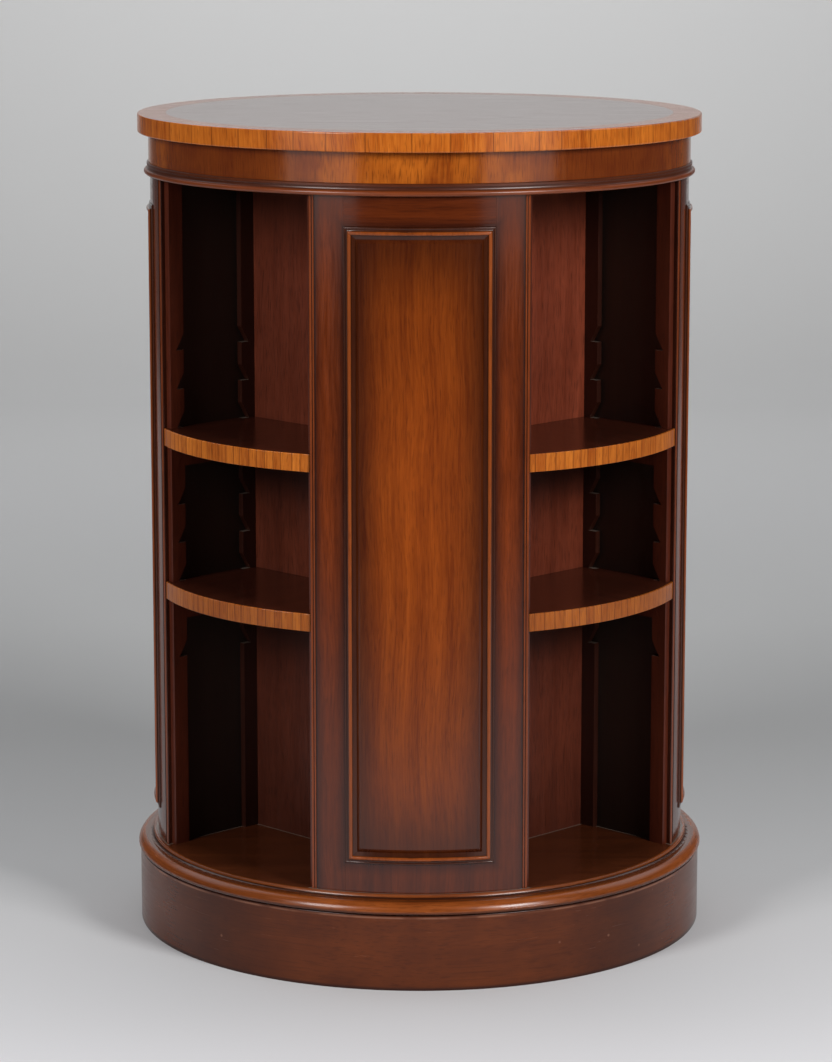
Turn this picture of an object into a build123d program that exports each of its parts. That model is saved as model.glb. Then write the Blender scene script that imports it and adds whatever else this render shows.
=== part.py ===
"""Round revolving bookcase: a drum carcase with open bays that turns on a plinth.

Millimetres, +Z up, origin at the middle of the footprint. The front column faces -Y.
Azimuths are in degrees from -Y, turning towards +X.
"""
from math import cos, degrees, radians, sin, sqrt
import os

from build123d import *

# Heights of the stack, from the floor up
plinth_height = 69.0
turning_gap = 1.0
base_thickness = 14.6
bay_height = 621.4
frieze_height = 38.2
top_thickness = 17.0

# Plan of the drum
body_radius = 249.0
front_half_width = 100.0
side_half_width = 84.75
partition_thickness = 8.0
core_board_thickness = 12.0
core_relief = 0.6

# Top and frieze
frieze_stand = 1.3
frieze_thickness = 14.0
top_overhang = 9.7
border_width = 26.0
top_arris = 1.2
ceiling_thickness = 12.0
frieze_bead_height = 11.0

# Base moulding and plinth
base_projection = 18.5
base_board_margin = 1.5
plinth_inset = 1.8
plinth_wall = 18.0
plinth_arris = 0.9
plinth_deck_thickness = 18.0
glue_block_count = 8
glue_block_length = 44.0
glue_block_depth = 18.0

# Frame and panel of a column
frame_thickness = 16.0
stile_width = 33.0
rail_width = 26.5
edge_bead_width = 7.2
edge_bead_depth = 8.0
quirk_depth = 0.9
reed_start = 1.6
reed_width = 1.8
corner_bead_start = 3.8
corner_bead_crest = 5.8
corner_bead_return = 1.9
panel_inner_depth = 11.0
panel_margin_depth = 3.0
field_height = 2.4
bevel_foot = 0.4
bevel_width = 3.3
moulding_width = 11.0

# Shelf supports
batten_width = 16.0
batten_thickness = 5.7
batten_setback = 5.2
notch_pitch = 35.75
notch_depth = 9.0
notch_height = 15.0
notch_count = 9
lowest_ledge = 178.4
bearer_height = 19.8
lower_shelf_notch = 1
upper_shelf_notch = 5

# Shelves
shelf_thickness = 16.0
shelf_front_inset = 1.2
lipping_thickness = 1.6
lipping_arris = 0.5

# Sections of the mouldings, arc by arc: (outwards, upwards) from the point that each is drawn from
base_bead_stand = 3.2
base_bead = ((0.0, 0.0), (1.4, -1.3), (0.6, -2.7))
base_hollow = ((0.6, -2.7), (1.8, -3.8), (4.6, -4.3))
base_ovolo_crest = (-3.05, -6.4)
base_lip = ((0.0, 3.2), (-0.2, 1.2), (-1.2, 0.0))
frieze_nose = ((2.0, 0.0), (4.2, 2.4), (2.4, 4.7))
frieze_cove = ((1.8, 4.7), (0.8, 6.2), (0.9, 8.2))
frieze_fillet = ((1.6, -2.6), (1.6, -0.7), (0.9, -0.1))

# Section of the panel moulding: (inwards from its outer edge, off the body)
moulding_step = ((0.0, 0.5), (0.4, 1.15), (1.2, 1.3))
moulding_hollow = ((1.2, 1.3), (2.6, 0.95), (3.9, 1.5))
moulding_bead = ((3.9, 1.5), (5.5, 3.7), (7.1, 1.4))

# Ball bearing under the base board
bearing_plate_size = 150.0
bearing_plate_thickness = 1.6
bearing_plate_corner = 12.0
ball_diameter = 4.7
ball_count = 24
ball_circle_radius = 52.0
race_lip_height = 1.3
race_lip_width = 1.5
race_side_gap = 0.5
bearing_window_radius = 36.0
cage_thickness = 0.9
cage_width = 7.2
screw_shank_radius = 1.9
screw_head_radius = 3.8
screw_head_height = 1.4
screw_length = 11.0
screw_inset = 12.0

# Clearances
glue_line = 0.1
shelf_side_gap = 0.6
shelf_seat_gap = 0.2
batten_gap = 0.3
ball_gap = 0.05
screw_gap = 0.05

# Levels worked out from the stack
base_bottom = plinth_height + turning_gap
floor_level = base_bottom + base_thickness
ceiling_level = floor_level + bay_height
frieze_top = ceiling_level + frieze_height
overall_height = frieze_top + top_thickness

# Radii worked out from the drum
frieze_radius = body_radius + frieze_stand
frieze_inner = frieze_radius - frieze_thickness
top_radius = frieze_radius + top_overhang
frame_inner = body_radius - frame_thickness
edge_bead_inner = body_radius - edge_bead_depth
base_board_radius = body_radius + base_board_margin
base_radius = body_radius + base_projection
plinth_radius = base_radius - plinth_inset
plinth_inner = plinth_radius - plinth_wall
shelf_radius = body_radius - shelf_front_inset

# Levels of the bearing
upper_plate_bottom = base_bottom - bearing_plate_thickness
ball_level = upper_plate_bottom - ball_gap - ball_diameter / 2
lower_plate_top = ball_level - ball_diameter / 2 - ball_gap
lower_plate_bottom = lower_plate_top - bearing_plate_thickness
deck_top = lower_plate_bottom
deck_bottom = deck_top - plinth_deck_thickness

COLUMNS = {
    "front": (0.0, front_half_width),
    "right": (90.0, side_half_width),
    "back": (180.0, front_half_width),
    "left": (270.0, side_half_width),
}
# Each bay: its azimuth, the half arc of the column before it and of the one after it
BAYS = {
    "front_right": (45.0, front_half_width, side_half_width),
    "back_right": (135.0, side_half_width, front_half_width),
    "back_left": (225.0, front_half_width, side_half_width),
    "front_left": (315.0, side_half_width, front_half_width),
}

os.makedirs("parts", exist_ok=True)


def save(part, name):
    """Label a finished piece and write it under its own name."""
    part.label = name
    export_step(part, f"parts/{name}.step")


def arc_angle(arc):
    """The angle in degrees that an arc length takes on the body's radius."""
    return degrees(arc / body_radius)


def wall_offset(half_arc):
    """How far a bay's side wall stands from the bay's middle plane, at this column."""
    return body_radius * sin(radians(45.0 - arc_angle(half_arc)))


widest_offset = max(wall_offset(front_half_width), wall_offset(side_half_width))
core_half = widest_offset + partition_thickness + core_relief


def outward(azimuth):
    """Unit vector pointing away from the middle at an azimuth."""
    return Vector(sin(radians(azimuth)), -cos(radians(azimuth)), 0)


def sideways(azimuth):
    """Unit vector along the rim at an azimuth, the way the azimuth grows."""
    return Vector(cos(radians(azimuth)), sin(radians(azimuth)), 0)


def polar(radius, angle):
    """Plan point of a column's own frame, where the column looks towards -y."""
    return (radius * sin(radians(angle)), -radius * cos(radians(angle)))


def plan_at(azimuth, height):
    """Plan plane at a height, turned so that its -y looks outwards at the azimuth."""
    return Plane(origin=(0, 0, height), x_dir=sideways(azimuth), z_dir=(0, 0, 1))


def section_at(azimuth):
    """Upright plane through the middle: x is the radius at the azimuth, y is height."""
    out = outward(azimuth)
    return Plane(origin=(0, 0, 0), x_dir=out, z_dir=out.cross(Vector(0, 0, 1)))


def sector(inner, outer, start, end):
    """Face of a ring between two angles, drawn in the sketch that is open."""
    middle = (start + end) / 2
    with BuildLine() as edge:
        ThreePointArc(polar(outer, start), polar(outer, middle), polar(outer, end))
        Line(polar(outer, end), polar(inner, end))
        ThreePointArc(polar(inner, end), polar(inner, middle), polar(inner, start))
        Line(polar(inner, start), polar(outer, start))
    make_face(edge.edges())


def wall_point(offset, out, side):
    """Plan point beside a column: out along the bay's side wall, offset from the bay's middle."""
    across = -offset
    x = (out + across) / sqrt(2)
    y = (across - out) / sqrt(2)
    return (side * x, y)


def on_wall(offset, radius):
    """Distance out along a side wall at which it reaches a radius."""
    return sqrt(radius**2 - offset**2)


def from_point(origin, offsets):
    """Section points at their offsets from an origin."""
    return [(origin[0] + out, origin[1] + up) for out, up in offsets]


# Plinth: hoop, deck and glue blocks
with BuildPart() as plinth_hoop:
    with BuildSketch(Plane.XY):
        Circle(plinth_radius)
        Circle(plinth_inner, mode=Mode.SUBTRACT)
    extrude(amount=plinth_height)
    fillet(plinth_hoop.edges().filter_by(GeomType.CIRCLE).group_by(Axis.Z)[-1].sort_by(SortBy.LENGTH)[-1],
           radius=plinth_arris)
save(plinth_hoop.part, "plinth_hoop")

screw_reach = bearing_plate_size / 2 - screw_inset
screw_spots = [(sx * screw_reach, sy * screw_reach) for sx in (-1, 1) for sy in (-1, 1)]
shank_length = screw_length - bearing_plate_thickness

with BuildPart() as plinth_deck:
    with BuildSketch(Plane.XY.offset(deck_bottom)):
        Circle(plinth_inner - glue_line)
    extrude(amount=plinth_deck_thickness)
    with BuildSketch(Plane.XY.offset(deck_top - shank_length - screw_gap)):
        with Locations(*screw_spots):
            Circle(screw_shank_radius + screw_gap)
    extrude(amount=shank_length + screw_gap, mode=Mode.SUBTRACT)
save(plinth_deck.part, "plinth_deck")

with BuildPart() as glue_blocks:
    for block in range(glue_block_count):
        azimuth = 360.0 / glue_block_count * (block + 0.5)
        with BuildSketch(plan_at(azimuth, glue_line)):
            with Locations((0, -plinth_inner + glue_block_depth / 2)):
                Rectangle(glue_block_length, glue_block_depth * 1.5)
            Circle(plinth_inner - glue_line, mode=Mode.INTERSECT)
        extrude(amount=deck_bottom - 2 * glue_line)
save(glue_blocks.part, "glue_blocks")

# Bearing: two pressed plates with race lips, balls and their cage
lip_outer = ball_circle_radius + ball_diameter / 2 + race_side_gap + race_lip_width
lip_inner = ball_circle_radius - ball_diameter / 2 - race_side_gap - race_lip_width


def bearing_plate(bottom, lip_bottom):
    """Square steel plate with a round window, screw holes and two lips beside the balls."""
    with BuildPart() as plate:
        with BuildSketch(Plane.XY.offset(bottom)):
            RectangleRounded(bearing_plate_size, bearing_plate_size, bearing_plate_corner)
            Circle(bearing_window_radius, mode=Mode.SUBTRACT)
            with Locations(*screw_spots):
                Circle(screw_shank_radius + screw_gap, mode=Mode.SUBTRACT)
        extrude(amount=bearing_plate_thickness)
        for lip_radius in (lip_outer, lip_inner + race_lip_width):
            with BuildSketch(Plane.XY.offset(lip_bottom)):
                Circle(lip_radius)
                Circle(lip_radius - race_lip_width, mode=Mode.SUBTRACT)
            extrude(amount=race_lip_height)
    return plate.part


save(bearing_plate(lower_plate_bottom, lower_plate_top), "bearing_lower_plate")
save(bearing_plate(upper_plate_bottom, upper_plate_bottom - race_lip_height), "bearing_upper_plate")

with BuildPart() as bearing_balls:
    with Locations((0, 0, ball_level)):
        with PolarLocations(ball_circle_radius, ball_count):
            Sphere(ball_diameter / 2)
save(bearing_balls.part, "bearing_balls")

with BuildPart() as bearing_cage:
    with BuildSketch(Plane.XY.offset(ball_level - cage_thickness / 2)):
        Circle(ball_circle_radius + cage_width / 2)
        Circle(ball_circle_radius - cage_width / 2, mode=Mode.SUBTRACT)
        with PolarLocations(ball_circle_radius, ball_count):
            Circle(ball_diameter / 2 + 2 * ball_gap, mode=Mode.SUBTRACT)
    extrude(amount=cage_thickness)
save(bearing_cage.part, "bearing_cage")


def plate_screws(head_level, towards):
    """Round-head screws through a bearing plate, heads at one level, shanks towards +1 or -1."""
    with BuildPart() as screws:
        with BuildSketch(Plane.XY.offset(head_level)):
            with Locations(*screw_spots):
                Circle(screw_head_radius)
        extrude(amount=-towards * screw_head_height)
        with BuildSketch(Plane.XY.offset(head_level)):
            with Locations(*screw_spots):
                Circle(screw_shank_radius)
        extrude(amount=towards * screw_length)
    return screws.part


save(plate_screws(lower_plate_top, -1), "lower_plate_screws")
save(plate_screws(upper_plate_bottom, 1), "upper_plate_screws")

# Turning base: board and moulded rim
with BuildPart() as base_board:
    with BuildSketch(Plane.XY.offset(base_bottom)):
        Circle(base_board_radius)
    extrude(amount=base_thickness)
    with BuildSketch(Plane.XY.offset(base_bottom)):
        with Locations(*screw_spots):
            Circle(screw_shank_radius + screw_gap)
    extrude(amount=shank_length + screw_gap, mode=Mode.SUBTRACT)
save(base_board.part, "base_board")

base_inner = base_board_radius + glue_line
bead_edge = (body_radius + base_bead_stand, floor_level)
bead_points = from_point(bead_edge, base_bead)
hollow_points = from_point(bead_edge, base_hollow)
lip_points = from_point((base_radius, base_bottom), base_lip)
ovolo_crest = from_point((base_radius, floor_level), [base_ovolo_crest])[0]
with BuildPart() as base_moulding:
    with BuildSketch(section_at(0)):
        with BuildLine():
            Polyline((base_inner, base_bottom), (base_inner, floor_level), bead_points[0])
            ThreePointArc(*bead_points)
            ThreePointArc(*hollow_points)
            ThreePointArc(hollow_points[-1], ovolo_crest, lip_points[0])
            ThreePointArc(*lip_points)
            Line(lip_points[-1], (base_inner, base_bottom))
        make_face()
    revolve(axis=Axis.Z)
save(base_moulding.part, "base_moulding")


def outline(*points, mode=Mode.ADD):
    """Straight-sided face through the points, drawn in the sketch that is open."""
    with BuildLine() as edge:
        Polyline(*points, close=True)
    make_face(edge.edges(), mode=mode)


def column_wedge(half_arc):
    """Keep only what lies between a column's two side walls, in the sketch that is open."""
    offset = wall_offset(half_arc)
    far = 2 * body_radius
    outline((0, -sqrt(2) * offset), wall_point(offset, far, 1), wall_point(offset, far, -1),
            mode=Mode.INTERSECT)


panel_bottom = floor_level + rail_width
panel_top = ceiling_level - rail_width
panel_margin = body_radius - panel_margin_depth


def column_frame(azimuth, half_arc):
    """Two rebated stiles and the two rails between them, curved to the drum."""
    opening = arc_angle(half_arc - stile_width)
    shoulder = opening - arc_angle(glue_line)
    bead_start = arc_angle(half_arc - edge_bead_width - glue_line)
    with BuildPart() as frame:
        with BuildSketch(plan_at(azimuth, floor_level)):
            for side in (-1, 1):
                sector(frame_inner, body_radius, *sorted((side * opening, side * bead_start)))
                sector(frame_inner, edge_bead_inner - glue_line,
                       *sorted((side * opening, side * arc_angle(half_arc))))
            column_wedge(half_arc)
        extrude(amount=bay_height)
        for bottom in (floor_level, panel_top):
            with BuildSketch(plan_at(azimuth, bottom)):
                sector(frame_inner, body_radius, -shoulder, shoulder)
            extrude(amount=rail_width)
    return frame.part


def panel(azimuth, half_arc):
    """Curved panel with a raised field and bevelled edges."""
    opening_half = half_arc - stile_width
    edge = arc_angle(opening_half - glue_line)
    foot_edge = arc_angle(opening_half - moulding_width - glue_line)
    field_edge = arc_angle(opening_half - moulding_width - bevel_width)
    inner = body_radius - panel_inner_depth
    foot = body_radius + bevel_foot
    field = body_radius + field_height
    low = panel_bottom + glue_line
    high = panel_top - glue_line
    foot_rise = moulding_width
    field_rise = moulding_width + bevel_width
    with BuildPart() as board:
        with BuildSketch(section_at(azimuth - edge)):
            outline((inner, low), (panel_margin, low), (panel_margin, low + foot_rise),
                    (foot, low + foot_rise), (field, low + field_rise), (field, high - field_rise),
                    (foot, high - foot_rise), (panel_margin, high - foot_rise), (panel_margin, high),
                    (inner, high))
        revolve(axis=Axis.Z, revolution_arc=2 * edge)
        with BuildSketch(plan_at(azimuth, low)):
            with BuildLine():
                ThreePointArc(polar(field, -field_edge), polar(field, 0), polar(field, field_edge))
                for side in (-1, 1):
                    middle = (edge + foot_edge) / 2
                    Polyline(polar(field, side * field_edge), polar(foot, side * foot_edge),
                             polar(panel_margin, side * foot_edge))
                    ThreePointArc(polar(panel_margin, side * foot_edge), polar(panel_margin, side * middle),
                                  polar(panel_margin, side * edge))
                    Line(polar(panel_margin, side * edge), polar(inner, side * edge))
                ThreePointArc(polar(inner, -edge), polar(inner, 0), polar(inner, edge))
            make_face()
        extrude(amount=high - low, mode=Mode.INTERSECT)
    return board.part


def moulding_section():
    """Section of the panel moulding: x runs from its outer edge inwards, y stands off the body."""
    start = (2 * glue_line, 0)
    step_points = from_point(start, moulding_step)
    hollow_points = from_point(start, moulding_hollow)
    bead_points = from_point(start, moulding_bead)
    seat = -panel_margin_depth
    with BuildLine() as edge:
        Polyline((start[0], seat), *step_points)
        ThreePointArc(*hollow_points)
        ThreePointArc(*bead_points)
        Polyline(bead_points[-1], (moulding_width, bevel_foot - glue_line), (moulding_width, seat),
                 (start[0], seat))
    make_face(edge.edges())


def panel_moulding(azimuth, half_arc):
    """Four mitred lengths of moulding round the panel: two upright and two curved."""
    opening_half = half_arc - stile_width
    middle = arc_angle(opening_half - moulding_width / 2)
    reach = arc_angle(opening_half)
    up = Vector(0, 0, 1)
    heights = {1: panel_top, -1: panel_bottom}
    members = []
    for side in (-1, 1):
        out = outward(azimuth + side * middle)
        along = sideways(azimuth + side * middle)
        edge = out * body_radius + along * (side * moulding_width / 2)
        start = edge + up * heights[-side]
        with BuildPart() as upright:
            with BuildSketch(Plane(origin=start, x_dir=along * -side, z_dir=up * side)):
                moulding_section()
            extrude(amount=panel_top - panel_bottom)
            for end in (-1, 1):
                normal = (along * side - up * end).normalized()
                corner = edge + up * heights[end] + normal * (glue_line / 2)
                split(bisect_by=Plane(origin=corner, z_dir=normal), keep=Keep.TOP)
        members.append(upright.part)
    for end in (-1, 1):
        out = outward(azimuth - reach)
        inwards = up * -end
        with BuildPart() as curved:
            with BuildSketch(Plane(origin=out * body_radius + up * heights[end], x_dir=inwards,
                                   z_dir=inwards.cross(out))):
                moulding_section()
            revolve(axis=Axis.Z, revolution_arc=2 * reach)
            for side in (-1, 1):
                along = sideways(azimuth + side * middle)
                edge = outward(azimuth + side * middle) * body_radius + along * (side * moulding_width / 2)
                normal = (along * -side + up * end).normalized()
                corner = edge + up * heights[end] + normal * (glue_line / 2)
                split(bisect_by=Plane(origin=corner, z_dir=normal), keep=Keep.TOP)
        members.append(curved.part)
    with BuildPart() as moulding:
        add(members)
    return moulding.part


def edge_beads(azimuth, half_arc):
    """Reed and corner bead let into the outer edge of both stiles."""
    start = half_arc - edge_bead_width
    offset = wall_offset(half_arc)
    corner = on_wall(offset, body_radius)

    def rim(side, arc, rise):
        """Plan point at an arc length from the strip's inner edge, standing off the body."""
        return polar(body_radius + rise, side * arc_angle(start + arc))

    with BuildPart() as beads:
        for side in (-1, 1):
            with BuildSketch(plan_at(azimuth, floor_level)):
                with BuildLine():
                    Polyline(polar(edge_bead_inner, side * arc_angle(start)), rim(side, 0, -quirk_depth),
                             rim(side, reed_start, -quirk_depth))
                    ThreePointArc(rim(side, reed_start, -quirk_depth),
                                  rim(side, reed_start + reed_width / 2, 0),
                                  rim(side, reed_start + reed_width, -quirk_depth))
                    Line(rim(side, reed_start + reed_width, -quirk_depth),
                         rim(side, corner_bead_start, -quirk_depth))
                    ThreePointArc(rim(side, corner_bead_start, -quirk_depth), rim(side, corner_bead_crest, 0),
                                  wall_point(offset, corner - corner_bead_return, side))
                    Polyline(wall_point(offset, corner - corner_bead_return, side),
                             wall_point(offset, on_wall(offset, edge_bead_inner), side),
                             polar(edge_bead_inner, side * arc_angle(start)))
                make_face()
            extrude(amount=bay_height)
    return beads.part


def partitions(azimuth, half_arc):
    """The two boards that close a column's sides, from the core to the back of the frame."""
    near = wall_offset(half_arc)
    deep = near + partition_thickness
    start = core_half + glue_line
    with BuildPart() as boards:
        for side in (-1, 1):
            with BuildSketch(plan_at(azimuth, floor_level)):
                outline(wall_point(near, start, side), wall_point(near, body_radius, side),
                        wall_point(deep, body_radius, side), wall_point(deep, start, side))
                Circle(frame_inner - glue_line, mode=Mode.INTERSECT)
            extrude(amount=bay_height)
    return boards.part


for column, (azimuth, half_arc) in COLUMNS.items():
    save(column_frame(azimuth, half_arc), f"{column}_column_frame")
    save(panel(azimuth, half_arc), f"{column}_panel")
    save(panel_moulding(azimuth, half_arc), f"{column}_panel_moulding")
    save(edge_beads(azimuth, half_arc), f"{column}_edge_beads")
    save(partitions(azimuth, half_arc), f"{column}_partitions")

# Core: four mitred boards that back the bays
with BuildPart() as core_boards:
    for azimuth, _, _ in BAYS.values():
        inside = core_half - core_board_thickness
        with BuildSketch(plan_at(azimuth, floor_level)):
            outline((-core_half + glue_line, -core_half), (core_half - glue_line, -core_half),
                    (inside - glue_line, -inside), (-inside + glue_line, -inside))
        extrude(amount=bay_height)
save(core_boards.part, "core_boards")


def ledge_level(notch):
    """Height of the flat ledge of a notch, counted from the lowest."""
    return floor_level + lowest_ledge + notch * notch_pitch


def bay_sides(before, after):
    """For each side wall of a bay: its side, its offset and where its two battens start."""
    for side, half_arc in ((-1, before), (1, after)):
        offset = wall_offset(half_arc)
        rear = core_half + glue_line
        front = on_wall(offset, body_radius) - batten_setback - batten_width
        yield side, offset, rear, front


def wall_plane(azimuth, side, offset):
    """Upright plane on a bay's side wall: x runs outwards along the wall, y is height."""
    origin = sideways(azimuth) * (side * offset)
    out = outward(azimuth)
    return Plane(origin=origin, x_dir=out, z_dir=out.cross(Vector(0, 0, 1)))


def battens(azimuth, before, after):
    """Four upright battens of a bay, notched like a saw on the edges that face each other."""
    with BuildPart() as strips:
        for side, offset, rear, front in bay_sides(before, after):
            with BuildSketch(wall_plane(azimuth, side, offset)):
                for start, notched, into in ((rear, rear + batten_width, -1), (front, front, 1)):
                    outline((start, floor_level), (start + batten_width, floor_level),
                            (start + batten_width, ceiling_level), (start, ceiling_level))
                    for notch in range(notch_count):
                        ledge = ledge_level(notch)
                        outline((notched, ledge), (notched + into * notch_depth, ledge),
                                (notched, ledge + notch_height), mode=Mode.SUBTRACT)
            extrude(amount=side * batten_thickness)
    return strips.part


def bearers(notch):
    """Bars that hang between the battens in one notch of every bay and carry a shelf."""
    low = ledge_level(notch)
    with BuildPart() as bars:
        for azimuth, before, after in BAYS.values():
            for side, offset, rear, front in bay_sides(before, after):
                back = rear + batten_width + batten_gap
                fore = front - batten_gap
                with BuildSketch(wall_plane(azimuth, side, offset)):
                    outline((back - notch_depth, low), (fore + notch_depth, low), (fore, low + notch_height),
                            (fore, low + bearer_height), (back, low + bearer_height),
                            (back, low + notch_height))
                extrude(amount=side * batten_thickness)
    return bars.part


for bay, (azimuth, before, after) in BAYS.items():
    save(battens(azimuth, before, after), f"{bay}_battens")
save(bearers(lower_shelf_notch), "lower_bearers")
save(bearers(upper_shelf_notch), "upper_bearers")


def shelf_plan(before, after, inner, outer):
    """Plan of a shelf between two radii, notched round the battens, in the sketch that is open."""
    low = -wall_offset(before) + shelf_side_gap
    high = wall_offset(after) - shelf_side_gap
    back = -core_half - shelf_side_gap
    outline((low, back), (high, back), (high, -body_radius), (low, -body_radius))
    Circle(outer, mode=Mode.INTERSECT)
    if inner:
        Circle(inner, mode=Mode.SUBTRACT)
    for side, offset, rear, front in bay_sides(before, after):
        wall = side * offset
        face = side * (offset - batten_thickness - shelf_side_gap)
        for start in (rear, front):
            outline((wall, -start + shelf_side_gap), (face, -start + shelf_side_gap),
                    (face, -start - batten_width - shelf_side_gap),
                    (wall, -start - batten_width - shelf_side_gap), mode=Mode.SUBTRACT)


for bay, (azimuth, before, after) in BAYS.items():
    for level, notch in (("lower", lower_shelf_notch), ("upper", upper_shelf_notch)):
        underside = ledge_level(notch) + bearer_height + shelf_seat_gap
        with BuildPart() as shelf:
            with BuildSketch(plan_at(azimuth, underside)):
                shelf_plan(before, after, 0, shelf_radius - lipping_thickness - glue_line)
            extrude(amount=shelf_thickness)
        save(shelf.part, f"{bay}_{level}_shelf")
        with BuildPart() as lipping:
            with BuildSketch(plan_at(azimuth, underside)):
                shelf_plan(before, after, shelf_radius - lipping_thickness, shelf_radius)
            extrude(amount=shelf_thickness)
            fillet(lipping.edges().filter_by(GeomType.CIRCLE).filter_by(
                lambda edge: abs(edge.radius - shelf_radius) < lipping_thickness / 2), radius=lipping_arris)
        save(lipping.part, f"{bay}_{level}_lipping")

# Ceiling of the bays, frieze and its bead
with BuildPart() as bay_ceiling:
    with BuildSketch(Plane.XY.offset(ceiling_level)):
        Circle(frieze_inner - glue_line)
    extrude(amount=ceiling_thickness)
save(bay_ceiling.part, "bay_ceiling")

frieze_bottom = ceiling_level + frieze_bead_height
with BuildPart() as frieze_hoop:
    with BuildSketch(Plane.XY.offset(frieze_bottom)):
        Circle(frieze_radius)
        Circle(frieze_inner, mode=Mode.SUBTRACT)
    extrude(amount=frieze_top - frieze_bottom)
save(frieze_hoop.part, "frieze_hoop")

nose_points = from_point((frieze_radius, ceiling_level), frieze_nose)
cove_points = from_point((frieze_radius, ceiling_level), frieze_cove)
fillet_points = from_point((frieze_radius, frieze_bottom), frieze_fillet)
with BuildPart() as frieze_bead:
    with BuildSketch(section_at(0)):
        with BuildLine():
            Polyline(fillet_points[-1], (frieze_inner, frieze_bottom - glue_line),
                     (frieze_inner, ceiling_level), nose_points[0])
            ThreePointArc(*nose_points)
            Line(nose_points[-1], cove_points[0])
            ThreePointArc(*cove_points)
            Polyline(cove_points[-1], *fillet_points)
        make_face()
    revolve(axis=Axis.Z)
save(frieze_bead.part, "frieze_bead")

# Top: veneered board inside a cross-banded border
border_inner = top_radius - border_width
with BuildPart() as top_board:
    with BuildSketch(Plane.XY.offset(frieze_top)):
        Circle(border_inner - glue_line)
    extrude(amount=top_thickness)
save(top_board.part, "top_board")

with BuildPart() as top_border:
    with BuildSketch(Plane.XY.offset(frieze_top)):
        Circle(top_radius)
        Circle(border_inner, mode=Mode.SUBTRACT)
    extrude(amount=top_thickness)
    fillet(top_border.edges().filter_by(GeomType.CIRCLE).filter_by(
        lambda edge: abs(edge.radius - top_radius) < border_width / 2), radius=top_arris)
save(top_border.part, "top_border")
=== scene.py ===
"""Revolving bookcase in a photographer's studio: finishes, floor, light and camera.

Metres, +Z up, the front column faces -Y. Sizes on the bookcase and of its patterns are written in millimetres.
"""
from math import cos, pi, radians, sin, sqrt

import bpy
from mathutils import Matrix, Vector

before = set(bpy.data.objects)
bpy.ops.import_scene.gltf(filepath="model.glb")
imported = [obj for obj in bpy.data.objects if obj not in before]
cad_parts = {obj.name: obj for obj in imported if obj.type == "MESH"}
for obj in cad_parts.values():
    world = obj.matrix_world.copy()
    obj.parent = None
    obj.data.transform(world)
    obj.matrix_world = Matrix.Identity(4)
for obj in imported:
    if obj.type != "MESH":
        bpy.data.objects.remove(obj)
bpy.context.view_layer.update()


def mm(value):
    """Millimetres to the scene's metres."""
    return value / 1000


def linear(colour):
    """sRGB hex to the linear colour that a shader takes."""
    channels = [int(colour[i:i + 2], 16) / 255 for i in (1, 3, 5)]
    return [c / 12.92 if c <= 0.04045 else ((c + 0.055) / 1.055) ** 2.4 for c in channels] + [1.0]


def node(tree, kind, settings=None, inputs=None):
    """Adds a node with its settings, and fills or links its inputs by name or number."""
    new = tree.nodes.new(kind)
    for name, value in (settings or {}).items():
        setattr(new, name, value)
    for key, value in (inputs or {}).items():
        if isinstance(value, bpy.types.NodeSocket):
            tree.links.new(value, new.inputs[key])
        elif isinstance(value, bpy.types.Node):
            tree.links.new(value.outputs[0], new.inputs[key])
        else:
            new.inputs[key].default_value = value
    return new


# Sockets of a Mix node that share their names with others, so that only their numbers tell them apart
COLOUR_A, COLOUR_B, MIXED_COLOUR = 6, 7, 2
VECTOR_A, VECTOR_B, MIXED_VECTOR = 4, 5, 1

# Heights and radii of the drum that the finishes follow
BODY_RADIUS = 249.0
BAY_FLOOR = 84.6
BAY_CEILING = 706.0
SHELF_UNDERSIDES = (317.7, 460.7)
TOP_RADIUS = 260.0
PLINTH_TOP = 69.0
PLINTH_RADIUS = 265.7
# Half the width of a column along the drum's face, and the widths of what it is framed with
FRONT_HALF = 100.0
SIDE_HALF = 84.75
STILE = 33.0
RAIL = 26.5
MOULDING = 11.0
EDGE_STRIP = 7.2
# How far the walls of a bay stand from the axis; they all stand at 45 degrees
BAY_BACK = 115.8
BAY_WALL_FRONT = 93.2
BAY_WALL_SIDE = 107.2
# Middles of the arcs that the base's hollow and round edge are turned to, by radius and height, and the radii
# where these arcs start. Under the last height is the base's underside
HOLLOW_CENTRE = (256.06, 84.25)
HOLLOW_START = 252.9
NOSING_CENTRE = (258.38, 71.07)
NOSING_START = 256.8
NOSING_END = 73.4

# Mahogany's figure across the grain: ribbons, streaks of fibre, and pores, each so many times longer than wide.
# Real pores are 0.2 mm wide and 3 mm long; they are drawn coarser, because nothing finer shows in the picture
RIBBON_WIDTH = 13.0
RIBBON_STRETCH = 24.0
FIBRE_WIDTH = 2.2
FIBRE_STRETCH = 28.0
PORE_WIDTH = 0.9
PORE_STRETCH = 14.0
# The grain wanders this far aside over this length
WANDER_REACH = 14.0
WANDER_LENGTH = 140.0
# Cloudy blotches in the polish, in the frieze's rubbing, and the spacing of the plinth's dents
BLOTCH_WIDTH = 30.0
CLOUD_WIDTH = 70.0
DENT_SPACING = 24.0
# Height from the pits to the fibres
RELIEF_HEIGHT = 0.12
# Nearly every value of a noise lies between these
NOISE_LOW, NOISE_HIGH = 0.3, 0.7
# Share of a veneer joint's width that is dark all through
JOINT_CORE = 0.2

# Colours laid on the wood: dark stain, also used for painted shade, pores, worn wood, also used for a painted
# sheen, and grey dust
DARK_STAIN_AND_SHADE = "#1E0805"
DARK_PORES = "#2E0F06"
BROWN_PORES = "#4A1D0A"
WORN_WOOD_AND_SHEEN = "#8E604A"
GREY_DUST = "#8F8276"
DUST_COVER = 0.5


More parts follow.
